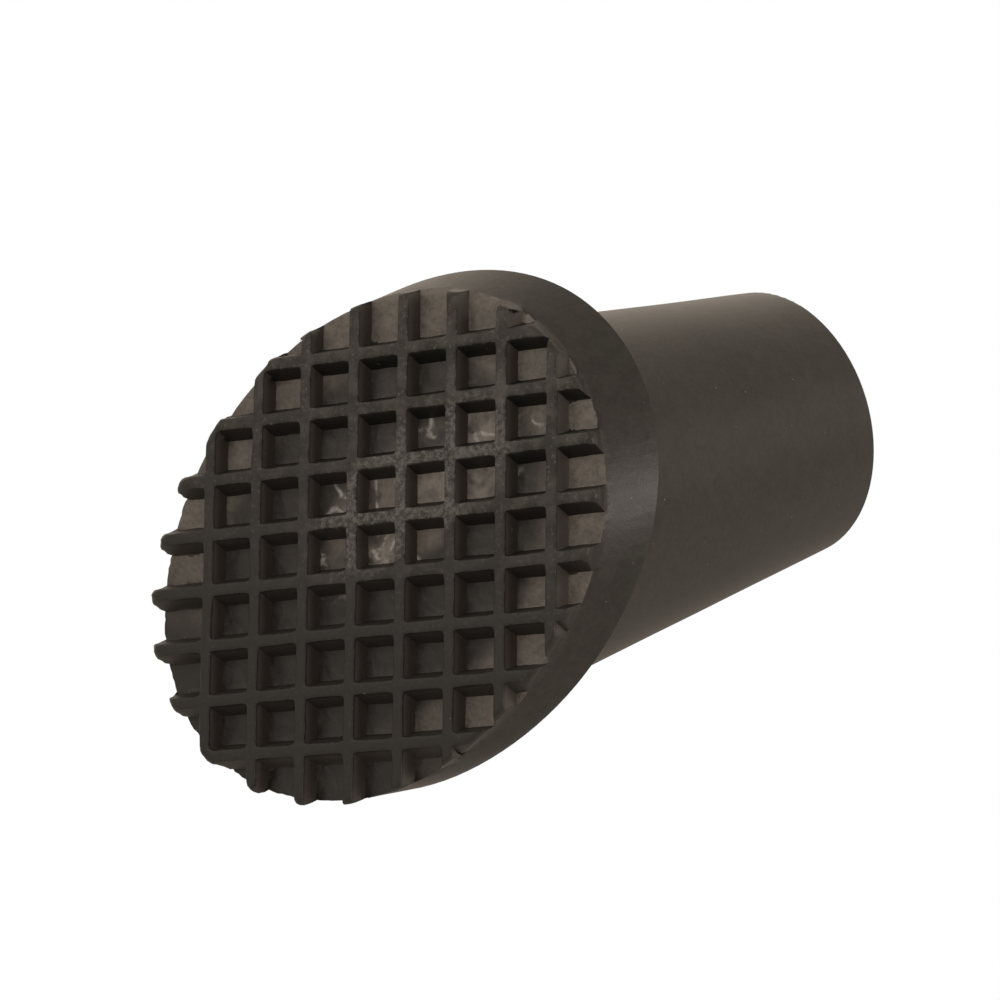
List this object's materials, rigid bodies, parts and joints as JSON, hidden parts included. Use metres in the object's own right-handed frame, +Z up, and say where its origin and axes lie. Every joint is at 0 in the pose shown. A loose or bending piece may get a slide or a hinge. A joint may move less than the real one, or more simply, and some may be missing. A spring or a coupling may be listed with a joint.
{
  "type": "side stand boot",
  "caption": "One-piece rubber boot for the end of a motorcycle side stand: a slanted round foot with a crossed-rib tread, and a tapered leaning sleeve with a blind bore for the leg.",
  "frame": {"origin": "under the middle of the boot's overall size, in the plane of the tread's rib tips", "axes": "+Z up from the ground that the tread stands on; +X is the side the sleeve leans to; the sleeve's axis lies in the XZ plane at y = 0"},
  "size_m": [0.0708, 0.0498, 0.0586],
  "materials": {
    "rubber": "moulded black-brown rubber, satin, slightly mottled, with worn scuffs in the tread gaps"
  },
  "bodies": {
    "root": {"side_stand_boot": "rubber"}
  },
  "joints": []
}
